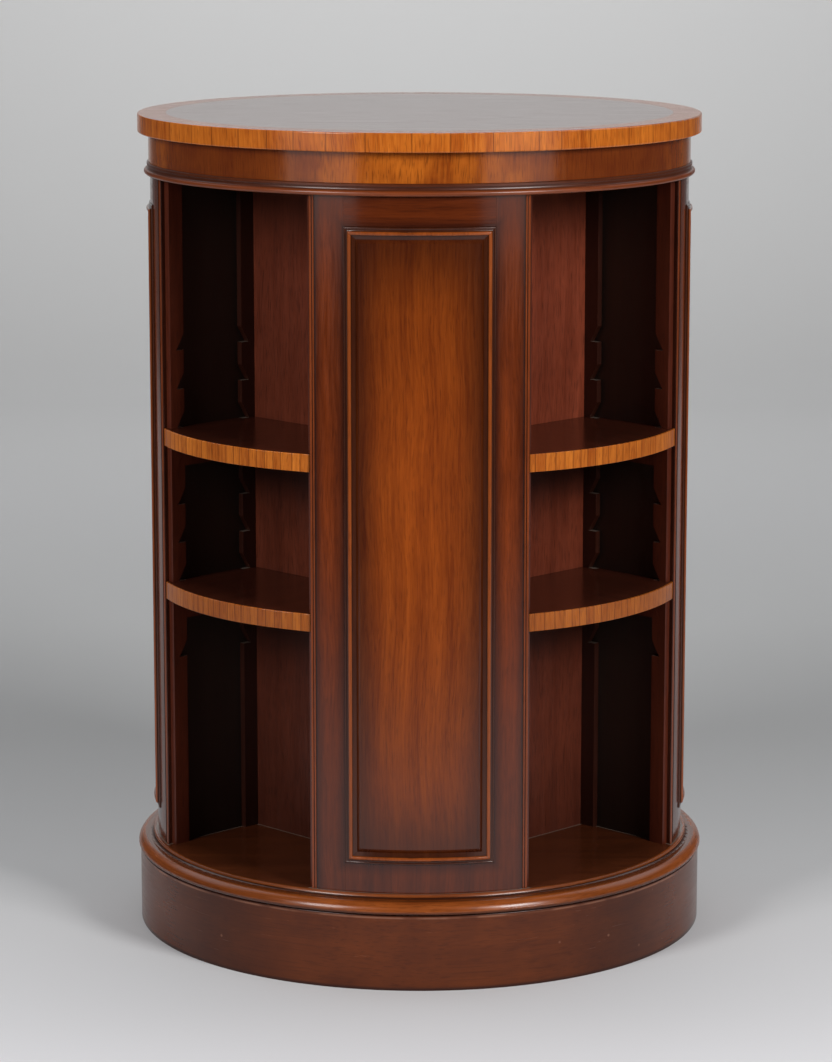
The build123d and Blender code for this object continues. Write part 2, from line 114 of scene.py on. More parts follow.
class Place:
    """Where a shaded point lies on the drum, as sockets of one material."""

    def __init__(self, tree):
        self.point = node(tree, "ShaderNodeTexCoord").outputs["Object"]
        parts = node(tree, "ShaderNodeSeparateXYZ", {}, {0: self.point})
        self.x, self.y, self.z = parts.outputs
        flat = node(tree, "ShaderNodeVectorMath", {"operation": "MULTIPLY"}, {0: self.point, 1: (1, 1, 0)})
        self.radius = node(tree, "ShaderNodeVectorMath", {"operation": "LENGTH"}, {0: flat}).outputs["Value"]
        rim = node(tree, "ShaderNodeVectorMath", {"operation": "NORMALIZE"}, {0: flat})
        self.rim = node(tree, "ShaderNodeVectorMath", {"operation": "SCALE"},
                        {0: rim, "Scale": mm(BODY_RADIUS)})
        # Way round the drum from the front, and the same folded so that it is 0 at the middle of every column
        ahead = node(tree, "ShaderNodeMath", {"operation": "MULTIPLY"}, {0: self.y, 1: -1.0})
        turn = node(tree, "ShaderNodeMath", {"operation": "ARCTAN2"}, {0: self.x, 1: ahead})
        self.run = node(tree, "ShaderNodeMath", {"operation": "MULTIPLY"}, {0: turn, 1: mm(BODY_RADIUS)})
        folded = node(tree, "ShaderNodeMath", {"operation": "PINGPONG"}, {0: turn, 1: pi / 4})
        self.arc = node(tree, "ShaderNodeMath", {"operation": "MULTIPLY"}, {0: folded, 1: mm(BODY_RADIUS)})


def grain_run(tree, place, grain, stretch, angle=0.0):
    """Noise coordinates in metres, shortened along the fibres: a vector and a fourth value.

    The grain is upright, around, radial, flat at an angle, or a pair of "frame" and half the frame's width.
    """
    slow = 1 / stretch
    if grain == "around":
        run = node(tree, "ShaderNodeVectorMath", {"operation": "SCALE"}, {0: place.rim, "Scale": slow})
        rise = node(tree, "ShaderNodeCombineXYZ", {}, {2: place.z})
        run = node(tree, "ShaderNodeVectorMath", {"operation": "ADD"}, {0: run, 1: rise})
        return run, place.radius
    if grain == "radial":
        reach = node(tree, "ShaderNodeMath", {"operation": "ADD"}, {0: place.radius, 1: place.z})
        reach = node(tree, "ShaderNodeMath", {"operation": "MULTIPLY"}, {0: reach, 1: slow})
        rise = node(tree, "ShaderNodeCombineXYZ", {}, {2: reach})
        run = node(tree, "ShaderNodeVectorMath", {"operation": "ADD"}, {0: place.rim, 1: rise})
        return run, 0.0
    if grain == "flat":
        run = node(tree, "ShaderNodeVectorRotate", {"rotation_type": "Z_AXIS"},
                   {"Vector": place.point, "Angle": angle})
        run = node(tree, "ShaderNodeVectorMath", {"operation": "MULTIPLY"}, {0: run, 1: (slow, 1, 1)})
        return run, 0.0
    run = node(tree, "ShaderNodeVectorMath", {"operation": "MULTIPLY"}, {0: place.point, 1: (1, 1, slow)})
    if grain == "upright":
        return run, 0.0
    # A frame: upright grain on the stiles and the bottom rail, grain along the rim on the top rail
    half = grain[1]
    around, radius = grain_run(tree, place, "around", stretch)
    high = node(tree, "ShaderNodeMath", {"operation": "GREATER_THAN"}, {0: place.z, 1: mm(BAY_CEILING - RAIL)})
    inside = node(tree, "ShaderNodeMath", {"operation": "LESS_THAN"}, {0: place.arc, 1: mm(half - STILE)})
    rail = node(tree, "ShaderNodeMath", {"operation": "MULTIPLY"}, {0: high, 1: inside})
    run = node(tree, "ShaderNodeMix", {"data_type": "VECTOR"}, {0: rail, VECTOR_A: run, VECTOR_B: around})
    fourth = node(tree, "ShaderNodeMath", {"operation": "MULTIPLY"}, {0: rail, 1: radius})
    return run.outputs[MIXED_VECTOR], fourth


def figure(tree, place, grain, angle, ribbon_width, seed):
    """Ribbons, fibres and pores as three noises that run along the grain and wander with it."""
    wander = node(tree, "ShaderNodeTexNoise", {},
                  {"Vector": place.point, "Scale": 1 / mm(WANDER_LENGTH), "Detail": 1.0})
    noises = []
    for width, stretch, detail in ((ribbon_width, RIBBON_STRETCH, 2.0), (FIBRE_WIDTH, FIBRE_STRETCH, 3.0),
                                   (PORE_WIDTH, PORE_STRETCH, 0.0)):
        run, fourth = grain_run(tree, place, grain, stretch, angle)
        run = node(tree, "ShaderNodeVectorMath", {"operation": "MULTIPLY_ADD"},
                   {0: wander.outputs["Color"], 1: (mm(WANDER_REACH), mm(WANDER_REACH), 0), 2: run})
        run = node(tree, "ShaderNodeVectorMath", {"operation": "ADD"}, {0: run, 1: (seed, seed, seed)})
        noises.append(node(tree, "ShaderNodeTexNoise", {"noise_dimensions": "4D"},
                           {"Vector": run, "W": fourth, "Scale": 1 / mm(width), "Detail": detail,
                            "Roughness": 0.6}).outputs[0])
    return noises


def veneer_strips(tree, place, width, evenness, joint, spread, depth):
    """Strips of veneer side by side round the drum: their steps in tone, and the dark joints between them."""
    along = node(tree, "ShaderNodeMath", {"operation": "DIVIDE"}, {0: place.run, 1: mm(width)})
    strip = node(tree, "ShaderNodeTexVoronoi", {"voronoi_dimensions": "1D"},
                 {"W": along, "Scale": 1.0, "Randomness": 1 - evenness})
    step = node(tree, "ShaderNodeSeparateColor", {}, {0: strip.outputs["Color"]})
    step = node(tree, "ShaderNodeMapRange", {}, {"Value": step, "To Min": -spread, "To Max": spread})
    edge = node(tree, "ShaderNodeTexVoronoi", {"voronoi_dimensions": "1D", "feature": "DISTANCE_TO_EDGE"},
                {"W": along, "Scale": 1.0, "Randomness": 1 - evenness})
    joints = node(tree, "ShaderNodeMapRange", {"interpolation_type": "SMOOTHSTEP"},
                  {"Value": edge, "From Min": joint / width, "From Max": JOINT_CORE * joint / width,
                   "To Max": depth})
    return step, joints


def mahogany(name, light, dark, grain="upright", angle=0.0, ribbon=0.5, fibre=0.35, mottle=0.15, pores=0.4,
             ribbon_width=RIBBON_WIDTH, pore_colour=DARK_PORES, strips=None, stain_and_shade=None, stain_and_shade_colour=DARK_STAIN_AND_SHADE,
             stain_and_shade_depth=0.85, dust=None, wear_and_sheen=None, turned=None, ior=1.5, roughness=0.14, relief=0.2,
             seed=0.0):
    """Stained and lacquered mahogany: ribbon figure, streaky fibres and short dark pores under a clear coat."""
    material = bpy.data.materials.new(name)
    material.use_nodes = True
    tree = material.node_tree
    shader = tree.nodes["Principled BSDF"]
    place = Place(tree)
    ribbon_noise, fibre_noise, pore_noise = figure(tree, place, grain, angle, ribbon_width, seed)
    blotches = node(tree, "ShaderNodeTexNoise", {},
                    {"Vector": place.point, "Scale": 1 / mm(BLOTCH_WIDTH), "Detail": 3.0}).outputs[0]

    # Colour of the wood, between its dark and its light, then pores and joints
    tone = 0.5 - 0.5 * (ribbon + fibre + mottle)
    for noise, share in ((ribbon_noise, ribbon), (fibre_noise, fibre), (blotches, mottle)):
        spread = node(tree, "ShaderNodeMapRange", {"clamp": False},
                      {"Value": noise, "From Min": NOISE_LOW, "From Max": NOISE_HIGH,
                       "To Min": 0.0, "To Max": share})
        tone = node(tree, "ShaderNodeMath", {"operation": "ADD"}, {0: tone, 1: spread})
    joints = 0.0
    if strips:
        step, joints = veneer_strips(tree, place, **strips)
        tone = node(tree, "ShaderNodeMath", {"operation": "ADD"}, {0: tone, 1: step})
    wood = node(tree, "ShaderNodeMix", {"data_type": "RGBA"},
                {0: tone, COLOUR_A: linear(dark), COLOUR_B: linear(light)})
    pits = node(tree, "ShaderNodeMapRange", {"interpolation_type": "SMOOTHSTEP"},
                {"Value": pore_noise, "From Min": 0.55, "From Max": 0.72, "To Max": pores})
    for amount in (pits, joints):
        wood = node(tree, "ShaderNodeMix", {"data_type": "RGBA"},
                    {0: amount, COLOUR_A: wood.outputs[MIXED_COLOUR], COLOUR_B: linear(pore_colour)})

    # What lies on the wood: stain and painted shade, wear and a painted sheen, and dust
    if stain_and_shade:
        stain_and_shade_held = node(tree, "ShaderNodeMapRange", {},
                    {"Value": stain_and_shade(tree, place), "To Min": stain_and_shade_depth, "To Max": 0.0})
        wood = node(tree, "ShaderNodeMix", {"data_type": "RGBA"},
                    {0: stain_and_shade_held, COLOUR_A: wood.outputs[MIXED_COLOUR], COLOUR_B: linear(stain_and_shade_colour)})
    if wear_and_sheen:
        patches = node(tree, "ShaderNodeMapRange", {"interpolation_type": "SMOOTHSTEP"},
                       {"Value": blotches, "From Min": 0.4, "From Max": 0.6, "To Min": 0.15, "To Max": 0.7})
        worn_and_sheen = node(tree, "ShaderNodeMath", {"operation": "MULTIPLY"}, {0: wear_and_sheen(tree, place), 1: patches})
        wood = node(tree, "ShaderNodeMix", {"data_type": "RGBA"},
                    {0: worn_and_sheen, COLOUR_A: wood.outputs[MIXED_COLOUR], COLOUR_B: linear(WORN_WOOD_AND_SHEEN)})
    if dust:
        wood = node(tree, "ShaderNodeMix", {"data_type": "RGBA"},
                    {0: dust(tree, place), COLOUR_A: wood.outputs[MIXED_COLOUR], COLOUR_B: linear(GREY_DUST)})
    tree.links.new(wood.outputs[MIXED_COLOUR], shader.inputs["Base Color"])

    # Polish: a little duller along some fibres, and sunk over the pores
    dulled = node(tree, "ShaderNodeMapRange", {},
                  {"Value": fibre_noise, "From Min": NOISE_LOW, "From Max": NOISE_HIGH,
                   "To Min": roughness - 0.04, "To Max": roughness + 0.06})
    tree.links.new(dulled.outputs[0], shader.inputs["Roughness"])
    height = node(tree, "ShaderNodeMath", {"operation": "SUBTRACT"}, {0: fibre_noise, 1: pits})
    bump = node(tree, "ShaderNodeBump", {},
                {"Strength": relief, "Distance": mm(RELIEF_HEIGHT), "Height": height})
    if turned:
        tree.links.new(turned(tree, place), bump.inputs["Normal"])
    tree.links.new(bump.outputs[0], shader.inputs["Normal"])
    shader.inputs["IOR"].default_value = ior
    return material


def smooth_ramps(tree, *edges):
    """1 where dark stain and painted shade are off, 0 where they are left; the same ramps also mark dust and
    wear.

    Each edge is what is measured, where the dark is left, where it is off, and the least that is cleared.
    """
    clear = 1.0
    for value, left, off, *least in edges:
        rise = node(tree, "ShaderNodeMapRange", {"interpolation_type": "SMOOTHSTEP"},
                    {"Value": value, "From Min": mm(left), "From Max": mm(off), "To Min": sum(least)})
        clear = node(tree, "ShaderNodeMath", {"operation": "MULTIPLY"}, {0: clear, 1: rise})
    return clear


def panel_rubbing(half):
    """The panel's field is rubbed to a warm middle and stays dark towards its moulding."""
    side = half - STILE - MOULDING
    low = BAY_FLOOR + RAIL + MOULDING
    high = BAY_CEILING - RAIL - MOULDING

    def stain_and_shade(tree, place):
        return smooth_ramps(tree, (place.arc, side + 3, side - 24, 0.1), (place.arc, side, side - 50, 0.7),
                           (place.z, low - 15, low + 70, 0.1), (place.z, low, 420, 0.6),
                           (place.z, high + 20, high - 70, 0.1), (place.z, high, high - 200, 0.6))
    return stain_and_shade


def frame_stain_and_shade(half):
    """Stiles and rails are painted dark beside the moulding and the edge beads, as painted shade in those
    creases; they are also darker in the corners, towards the bottom and under the frieze.
    """
    edge = half - EDGE_STRIP

    def stain_and_shade(tree, place):
        beside = node(tree, "ShaderNodeMath", {"operation": "SUBTRACT"}, {0: place.arc, 1: mm(half - STILE)})
        above = node(tree, "ShaderNodeMath", {"operation": "SUBTRACT"}, {0: place.z, 1: mm(BAY_CEILING - RAIL)})
        below = node(tree, "ShaderNodeMath", {"operation": "SUBTRACT"}, {0: mm(BAY_FLOOR + RAIL), 1: place.z})
        outside = node(tree, "ShaderNodeMath", {"operation": "MAXIMUM"}, {0: beside, 1: above})
        outside = node(tree, "ShaderNodeMath", {"operation": "MAXIMUM"}, {0: outside, 1: below})
        return smooth_ramps(tree, (outside, -3, 12), (place.arc, edge + 4, edge - 9), (place.z, 0, 420, 0.4),
                           (place.z, BAY_CEILING + 15, BAY_CEILING - 60, 0.45))
    return stain_and_shade


def hollow_painted_shade(low, high):
    """Painted shade darkens the hollows of a moulding and leaves its beads clear, by radius."""
    def stain_and_shade(tree, place):
        return smooth_ramps(tree, (place.radius, low, high))
    return stain_and_shade


def base_painted_shade(tree, place):
    """Painted shade in the hollow between the base's inner bead and its round edge, and under that edge; the
    base is also darker under the bays.
    """
    bead = smooth_ramps(tree, (place.z, 81.7, 82.4))
    nosing = smooth_ramps(tree, (place.z, 80.9, 79.7), (place.z, 71.0, 73.5, 0.2))
    clean = node(tree, "ShaderNodeMath", {"operation": "MAXIMUM"}, {0: bead, 1: nosing})
    return node(tree, "ShaderNodeMath", {"operation": "MULTIPLY"},
                {0: clean, 1: smooth_ramps(tree, (place.arc, 195, 60, 0.55))})


def base_normal(tree, place):
    """Which way the base's hollow and round edge face, from their arcs.

    Light then runs along them as smoothly as on turned wood.
    """
    facing = node(tree, "ShaderNodeNewGeometry").outputs["Normal"]
    above = node(tree, "ShaderNodeMath", {"operation": "GREATER_THAN"}, {0: place.z, 1: mm(NOSING_END)})
    for (reach, rise), start, is_hollow in ((HOLLOW_CENTRE, HOLLOW_START, True),
                                            (NOSING_CENTRE, NOSING_START, False)):
        centre = node(tree, "ShaderNodeVectorMath", {"operation": "MULTIPLY_ADD"},
                      {0: place.rim, 1: [reach / BODY_RADIUS] * 3, 2: (0, 0, mm(rise))})
        ends = {0: centre, 1: place.point} if is_hollow else {0: place.point, 1: centre}
        across = node(tree, "ShaderNodeVectorMath", {"operation": "SUBTRACT"}, ends)
        curved = node(tree, "ShaderNodeVectorTransform",
                      {"vector_type": "NORMAL", "convert_from": "OBJECT", "convert_to": "WORLD"}, {0: across})
        past = node(tree, "ShaderNodeMath", {"operation": "GREATER_THAN"}, {0: place.radius, 1: mm(start)})
        on_arc = node(tree, "ShaderNodeMath", {"operation": "MULTIPLY"}, {0: past, 1: above})
        facing = node(tree, "ShaderNodeMix", {"data_type": "VECTOR"},
                      {0: on_arc, VECTOR_A: facing, VECTOR_B: curved}).outputs[MIXED_VECTOR]
    return facing


def batten_painted_shade(tree, place):
    """Painted shade on the battens: those at the back of a bay are as dark as the side walls, those near its
    mouth are browner.
    """
    return smooth_ramps(tree, (place.radius, 170, 215, 0.2))


def lipping_painted_shade(tree, place):
    """The lower lippings are painted browner than the upper ones: painted shade, since the light reaches the
    upper ones.
    """
    return smooth_ramps(tree, (place.z, 200, 500, 0.3))


def border_painted_shade(tree, place):
    """The border is painted browner and darker on top than on its edge: painted shade on the top face, while
    the edge keeps the bright wood.
    """
    return smooth_ramps(tree, (place.radius, TOP_RADIUS - 2, TOP_RADIUS - 0.6, 0.45))


def back_board_painted_shade(tree, place):
    """Painted shade on the back boards: darker towards the floor and ceiling of a bay, in a band under each
    shelf, and on the -X side.
    """
    painted_light_share = smooth_ramps(tree, (place.z, 200, 480, 0.45), (place.z, 60, 200, 0.5), (place.z, 725, 640, 0.5),
                        (place.x, -60, 60, 0.6))
    # Painted shadow in a band under each shelf, with a soft top edge where the shelf sits
    for underside in SHELF_UNDERSIDES:
        below = smooth_ramps(tree, (place.z, underside - 25, underside - 75, 0.15))
        above = smooth_ramps(tree, (place.z, underside - 2, underside + 22))
        shade = node(tree, "ShaderNodeMath", {"operation": "MAXIMUM"}, {0: below, 1: above})
        painted_light_share = node(tree, "ShaderNodeMath", {"operation": "MULTIPLY"}, {0: painted_light_share, 1: shade})
    return painted_light_share


def plinth_painted_shade(tree, place):
    """The plinth is lighter in front of the columns and darker under the bays; painted shade makes it black at
    both its edges, in the joint under the base and where it meets the floor.
    """
    return smooth_ramps(tree, (place.arc, 195, 90, 0.4), (place.z, PLINTH_TOP - 0.3, PLINTH_TOP - 1.6),
                       (place.z, 1.4, 4.0))


def frieze_rubbing(tree, place):
    """The frieze is rubbed to orange over the columns and stays redder and darker over the bays."""
    cloud = node(tree, "ShaderNodeTexNoise", {},
                 {"Vector": place.point, "Scale": 1 / mm(CLOUD_WIDTH), "Detail": 2.0})
    shifted = node(tree, "ShaderNodeMath", {"operation": "MULTIPLY_ADD"},
                   {0: cloud.outputs[0], 1: mm(150), 2: place.arc})
    return smooth_ramps(tree, (shifted, 235, 95))


def ledge_dust(tree, place):
    """Grey dust on faces that look up, such as the ledges of the notches."""
    facing = node(tree, "ShaderNodeNewGeometry").outputs["Normal"]
    upward = node(tree, "ShaderNodeSeparateXYZ", {}, {0: facing}).outputs[2]
    return node(tree, "ShaderNodeMapRange", {},
                {"Value": upward, "From Min": 0.8, "From Max": 1.0, "To Max": DUST_COVER})


def corner_dust(tree, place):
    """Grey dust where the floor of a bay meets its back and side walls."""
    side = node(tree, "ShaderNodeMath", {"operation": "ABSOLUTE"}, {0: place.x})
    front = node(tree, "ShaderNodeMath", {"operation": "ABSOLUTE"}, {0: place.y})
    depth = node(tree, "ShaderNodeMath", {"operation": "ADD"}, {0: side, 1: front})
    across = node(tree, "ShaderNodeMath", {"operation": "SUBTRACT"}, {0: side, 1: front})
    # Along either axis a wall at 45 degrees is further off than square to itself
    back, side_wall, front_wall = (sqrt(2) * stand for stand in (BAY_BACK, BAY_WALL_SIDE, BAY_WALL_FRONT))
    clean = smooth_ramps(tree, (depth, back + 1.2, back + 4), (across, side_wall - 1.2, side_wall - 4),
                        (across, 1.2 - front_wall, 4 - front_wall))
    return node(tree, "ShaderNodeMapRange", {}, {"Value": clean, "To Min": DUST_COVER, "To Max": 0.0})


def plinth_wear_and_sheen(tree, place):
    """The plinth is paler along its upper arris, partly wear and partly a painted sheen, and worn paler in
    small dents.
    """
    arris = smooth_ramps(tree, (place.z, PLINTH_TOP - 3.4, PLINTH_TOP - 2.4),
                        (place.z, PLINTH_TOP - 0.9, PLINTH_TOP - 1.9),
                        (place.radius, PLINTH_RADIUS - 2, PLINTH_RADIUS - 1))
    pit = node(tree, "ShaderNodeTexVoronoi", {}, {"Vector": place.point, "Scale": 1 / mm(DENT_SPACING)})
    dents = node(tree, "ShaderNodeMapRange", {},
                 {"Value": pit.outputs["Distance"], "From Min": 0.07, "From Max": 0.03})
    return node(tree, "ShaderNodeMath", {"operation": "MAXIMUM"}, {0: arris, 1: dents})


# Figured mahogany veneer, french polished: a clear mirror over wood rubbed through to orange in the middle
panel_finish = {}
# Straight-grained solid mahogany, french polished: streaks run up the stiles and along the top rail, and
# painted shade darkens them beside the moulding and the edge beads
frame_finish = {}
for half in (FRONT_HALF, SIDE_HALF):
    where = "front_and_back" if half == FRONT_HALF else "sides"
    panel_finish[half] = mahogany(f"figured_veneer_panel_{where}", "#9E4A12", "#652609", ribbon=0.45, fibre=0.5,
                                  mottle=0.1, pores=0.22, stain_and_shade=panel_rubbing(half))
    frame_finish[half] = mahogany(f"straight_mahogany_frame_{where}", "#80360F", "#4E1D08",
                                  grain=("frame", half), fibre=0.45, pores=0.25, stain_and_shade=frame_stain_and_shade(half))
# Moulded mahogany round the panels: its bead keeps the wood's colour, and painted shade darkens the hollow
# beside it
moulding_finish = mahogany("moulded_mahogany_panel_bead", "#A04E1A", "#6A300E", pores=0.2,
                           stain_and_shade=hollow_painted_shade(250.6, 252.2), roughness=0.2)
# The same at the columns' edges, browner, with a painted shade line each side of the reed
edge_bead_finish = mahogany("moulded_mahogany_edge_bead", "#8A4018", "#56240D", pores=0.2,
                            stain_and_shade=hollow_painted_shade(248.1, 248.9), roughness=0.2)
# Turned mahogany base: one long smooth highlight on its round edge, painted shade in the hollow behind that and
# under it
base_finish = mahogany("moulded_mahogany_base", "#A25420", "#6C3212", grain="around", stain_and_shade=base_painted_shade,
                       pores=0.25, relief=0.05, turned=base_normal, roughness=0.22, ior=1.45)
# Turned mahogany under the frieze: less painted shade in its hollow and less polished, so it shows as a soft
# brown line
frieze_bead_finish = mahogany("moulded_mahogany_frieze_bead", "#8E441C", "#5C2810", grain="around",
                              stain_and_shade=hollow_painted_shade(251.6, 252.8), stain_and_shade_depth=0.65, pores=0.2, roughness=0.3)
# Mottled veneer bent round the frieze, its grain upright: cloudy patches catch the light
frieze_finish = mahogany("mottled_veneer_frieze", "#BE661C", "#843C0E", ribbon_width=20.0, ribbon=0.4,
                         fibre=0.45, mottle=0.7, stain_and_shade=frieze_rubbing, stain_and_shade_colour="#56200E", stain_and_shade_depth=0.8)
# Cross-banding of the top: strips of straight veneer with their grain towards the middle, joints show as lines;
# painted shade browns its top face
crossband_finish = mahogany("crossbanded_mahogany_top", "#D87A26", "#9C460F", grain="radial",
                            strips={"width": 32.0, "evenness": 0.2, "joint": 0.8, "spread": 0.15, "depth": 0.6},
                            ribbon_width=7.0, ribbon=0.35, fibre=0.5, mottle=0.35, pores=0.35,
                            pore_colour=BROWN_PORES, stain_and_shade=border_painted_shade, stain_and_shade_colour="#5A2A12", roughness=0.2)
# Cross-banding of the shelves' edges: the same veneer in narrower strips, with less shine than the top's;
# painted shade browns the lower ones
lipping_finish = mahogany("crossbanded_mahogany_lipping", "#D27828", "#9C4C16", grain="radial",
                          strips={"width": 9.0, "evenness": 0.25, "joint": 0.7, "spread": 0.2, "depth": 0.6},
                          ribbon_width=7.0, ribbon=0.3, fibre=0.6, mottle=0.3, pores=0.3,
                          pore_colour=BROWN_PORES, stain_and_shade=lipping_painted_shade, stain_and_shade_colour="#54240E", ior=1.38,
                          roughness=0.2, seed=0.4)
# Polished top veneer: a grey mirror of the paper at a low angle, brown from above
top_finish = mahogany("veneered_mahogany_top", "#6C3216", "#441C0B", grain="flat", ribbon_width=30.0,
                      ribbon=0.45, fibre=0.5, pores=0.25, relief=0.1)
# Bent solid mahogany plinth: satin, an even red-brown, dented by feet; painted shade blackens its top and
# bottom edges, and a painted sheen partly pales its upper arris
plinth_finish = mahogany("bent_mahogany_plinth", "#68300F", "#4C200B", grain="around", ribbon=0.3, fibre=0.3,
                         mottle=0.4, pores=0.3, stain_and_shade=plinth_painted_shade, stain_and_shade_colour="#2A110A", wear_and_sheen=plinth_wear_and_sheen,
                         ior=1.36, roughness=0.22)
# Plain mahogany boards at the back of the bays, sealed: dull red-brown, with painted shade where little light
# comes
core_finish = mahogany("plain_mahogany_back_board", "#8E422A", "#662A18", mottle=0.3, roughness=0.35,
                       stain_and_shade=back_board_painted_shade, stain_and_shade_colour="#1C0D09", stain_and_shade_depth=0.9)
# Plain mahogany on the side walls and ceiling, coloured nearly black as painted shade: it makes the bays look
# deep
wall_finish = mahogany("shade_painted_side_wall", "#2D2019", "#1F1611", mottle=0.3, roughness=0.4)
# Plain mahogany battens and bearer bars, sealed: dull brown, with painted shade deeper in the bay and grey dust
# on the ledges
batten_finish = mahogany("plain_mahogany_batten", "#5E2613", "#40170A", roughness=0.35,
                         stain_and_shade=batten_painted_shade, stain_and_shade_colour="#150B07", dust=ledge_dust)
# Polished mahogany floor of the bays: it mirrors their walls dimly, and dust lies in its corners
floor_finish = mahogany("polished_mahogany_bay_floor", "#5E2E16", "#3C1B0D", grain="flat", roughness=0.2,
                        dust=corner_dust)
# Polished mahogany shelves: dark under a clear coat. Their grain runs across the bay, so it leans two ways
shelf_finish = {}
for lean, angle in (("rising", radians(45)), ("falling", radians(-45))):
    shelf_finish[lean] = mahogany(f"polished_mahogany_shelf_{lean}", "#4C2316", "#31130B", grain="flat",
                                  angle=angle, roughness=0.18)
# Sawn pine, unpolished: pale and matt with darker growth lines
deck_finish = mahogany("sawn_pine_deck", "#C9A06A", "#A87C48", grain="flat", roughness=0.75,
                       ribbon_width=12.0, pore_colour="#8A5A2C")

# Marks that grinding leaves on steel; real ones are under 0.1 mm wide, and are drawn wider to show at all
GRIND_WIDTH = 0.8


def steel(name, colour, roughness):
    """Bare or plated steel: grey mirror with a fine grind that spreads the highlight."""
    material = bpy.data.materials.new(name)
    material.use_nodes = True
    tree = material.node_tree
    shader = tree.nodes["Principled BSDF"]
    point = node(tree, "ShaderNodeTexCoord").outputs["Object"]
    grind = node(tree, "ShaderNodeTexNoise", {},
                 {"Vector": point, "Scale": 1 / mm(GRIND_WIDTH), "Detail": 2.0})
    dulled = node(tree, "ShaderNodeMapRange", {},
                  {"Value": grind.outputs[0], "To Min": roughness - 0.08, "To Max": roughness + 0.12})
    tree.links.new(dulled.outputs[0], shader.inputs["Roughness"])
    shader.inputs["Base Color"].default_value = linear(colour)
    shader.inputs["Metallic"].default_value = 1.0
    return material


# Pressed steel plates, zinc plated: soft grey shine
plate_finish = steel("zinc_plated_pressed_steel", "#C4C2BC", 0.35)
# Ground steel balls: bright, nearly a mirror
ball_finish = steel("ground_steel_balls", "#D8D8D8", 0.14)
# Zinc plated screws: soft grey, a little brighter than the plates
screw_finish = steel("zinc_plated_screws", "#BFBDB6", 0.3)


def dress(name, material):
    """Gives a piece of the bookcase its finish."""
    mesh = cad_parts[name].data
    mesh.materials.clear()
    mesh.materials.append(material)


for column, half in (("front", FRONT_HALF), ("back", FRONT_HALF), ("right", SIDE_HALF), ("left", SIDE_HALF)):
    dress(f"{column}_panel", panel_finish[half])
    dress(f"{column}_column_frame", frame_finish[half])
    dress(f"{column}_panel_moulding", moulding_finish)
    dress(f"{column}_edge_beads", edge_bead_finish)
    dress(f"{column}_partitions", wall_finish)
for bay, lean in (("front_right", "rising"), ("back_left", "rising"), ("back_right", "falling"),
                  ("front_left", "falling")):
    dress(f"{bay}_battens", batten_finish)
    for level in ("lower", "upper"):
        dress(f"{bay}_{level}_shelf", shelf_finish[lean])
        dress(f"{bay}_{level}_lipping", lipping_finish)
for name, material in (
        ("core_boards", core_finish), ("bay_ceiling", wall_finish), ("lower_bearers", batten_finish),
        ("upper_bearers", batten_finish), ("base_board", floor_finish), ("base_moulding", base_finish),
        ("frieze_hoop", frieze_finish), ("frieze_bead", frieze_bead_finish), ("top_board", top_finish),
        ("top_border", crossband_finish), ("plinth_hoop", plinth_finish), ("plinth_deck", deck_finish),
        ("glue_blocks", deck_finish), ("bearing_lower_plate", plate_finish),
        ("bearing_upper_plate", plate_finish), ("bearing_cage", plate_finish),
        ("bearing_balls", ball_finish), ("lower_plate_screws", screw_finish),
        ("upper_plate_screws", screw_finish)):
    dress(name, material)

# Studio, in metres: a dark room, and a roll of pale paper that runs back under the bookcase and bends up
PAPER_HALF_WIDTH = 2.9
PAPER_FRONT = -2.4
SWEEP_START = 3.6
SWEEP_RADIUS = 1.3
SWEEP_STEPS = 24
WALL_HEIGHT = 2.2
ROOM_HALF_WIDTH = 9.0
# The studio's floor lies this far under the paper
PAPER_LIFT = 0.002
# The paper is pale as wide as the lights reach, and painted shade darkens it beside that
PAPER_PALE_HALF = 1.45
PAPER_DARK_HALF = 2.3
PAPER_SHADE = 0.25
# Painted light and shade: grey of the paper by how far along it from the bookcase's middle, standing for how
# the lights fall along the roll
PAPER_PAINTED_GREYS = ((-2.4, "#303031"), (-1.73, "#525253"), (-1.3, "#8A8A8B"), (-0.9, "#C2C1C3"), (-0.5, "#E0DFE1"),
               (0.1, "#C9C9C9"), (0.7, "#BDBDBC"), (1.3, "#C8C8C7"), (2.1, "#C4C4C4"), (3.2, "#BEBEBE"),
               (3.9, "#C7C7C7"), (4.6, "#D3D3D3"), (5.4, "#DDDDDD"), (6.2, "#DCDCDC"), (7.1, "#DCDCDC"))
# Scuffs of the studio's floor, in millimetres
SCUFF_WIDTH = 60.0


def stage_piece(name, points, faces, material):
    """A piece of the studio, which isn't part of the bookcase."""
    mesh = bpy.data.meshes.new(name)
    mesh.from_pydata(points, [], faces)
    mesh.shade_smooth()
    mesh.materials.append(material)
    piece = bpy.data.objects.new(name, mesh)
    bpy.context.scene.collection.objects.link(piece)


